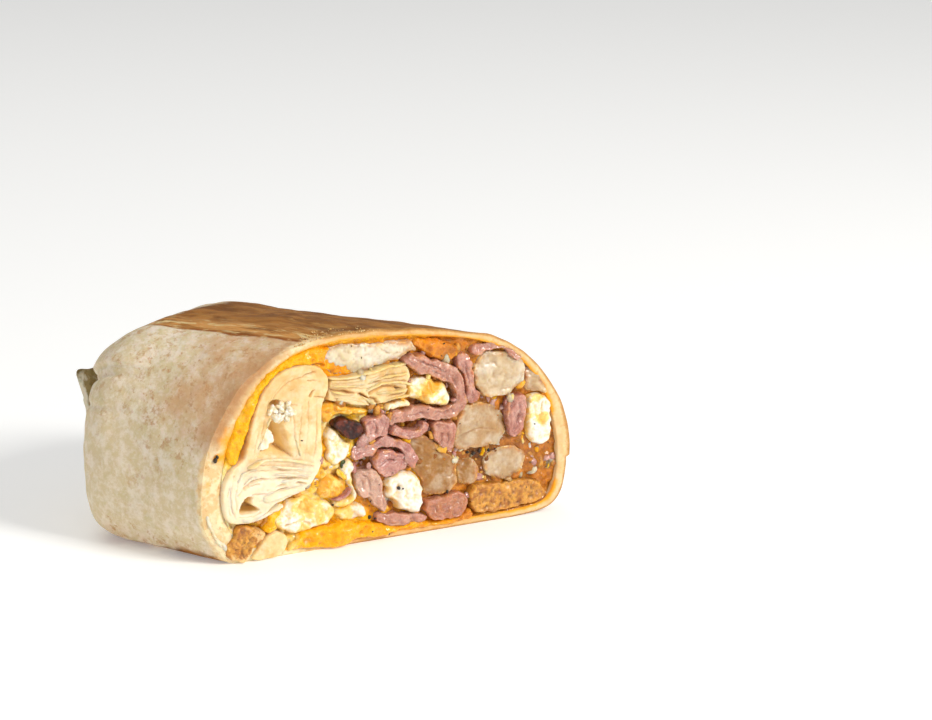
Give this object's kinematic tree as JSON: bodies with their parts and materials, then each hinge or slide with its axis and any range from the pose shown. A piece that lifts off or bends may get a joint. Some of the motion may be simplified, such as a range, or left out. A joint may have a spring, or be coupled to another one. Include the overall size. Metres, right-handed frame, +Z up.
{
  "type": "burrito half",
  "caption": "Half of a griddled breakfast burrito, cut on the slant and lying on its flat side, with egg, ham, potato and melted cheese in folded tortilla.",
  "frame": {"origin": "middle of the footprint on the surface that the half lies on, at the centre of the bounding box's bottom", "axes": "+X to the right along the slanted cut face, +Y from the cut face into the food towards the closed end, +Z up"},
  "size_m": [0.1116, 0.0744, 0.0511],
  "materials": {
    "tortilla": "soft griddled flour tortilla: pale cream sides with tan freckles, toasted brown top and base",
    "layers": "steamed inner tortilla in pale cream flaky layers",
    "cheese": "glossy melted cheddar, orange to amber",
    "potato": "cooked potato, smooth cut face with browned edges",
    "ham": "moist diced ham, pink with paler fat and darker edges",
    "egg": "moist cooked egg white",
    "yolk": "moist scrambled egg yolk",
    "browned": "fried golden-brown crust",
    "charred": "dark, almost black charred piece, slightly glossy"
  },
  "bodies": {
    "root": {"tortilla_wrap": "tortilla", "egg_white_center": "egg", "ham_lobe": "ham", "ham_arch": "ham", "ham_left_lobe": "ham", "ham_curl_right": "ham", "ham_loop": "ham", "ham_right": "ham", "ham_small": "ham", "ham_bottom": "ham", "ham_strip_low": "ham", "egg_upper_right": "egg", "egg_white_small": "egg", "egg_left": "egg", "egg_strand": "egg", "egg_lobe_low": "egg", "egg_yolk_top": "yolk", "egg_yolk_low": "yolk", "egg_bottom": "egg", "char_piece": "charred", "crust_corner": "browned", "tortilla_corner": "layers", "potato_top": "potato", "potato_center": "potato", "potato_right_upper": "potato", "potato_right_lower": "potato", "potato_low": "potato", "potato_far": "potato", "potato_far_low": "potato", "hash_brown": "browned", "ham_far": "ham", "ham_far_top": "ham", "ham_far_low": "ham", "egg_far": "egg", "tortilla_fold_top": "layers", "tortilla_fold_left": "layers", "melted_cheese": "cheese"}
  },
  "joints": []
}
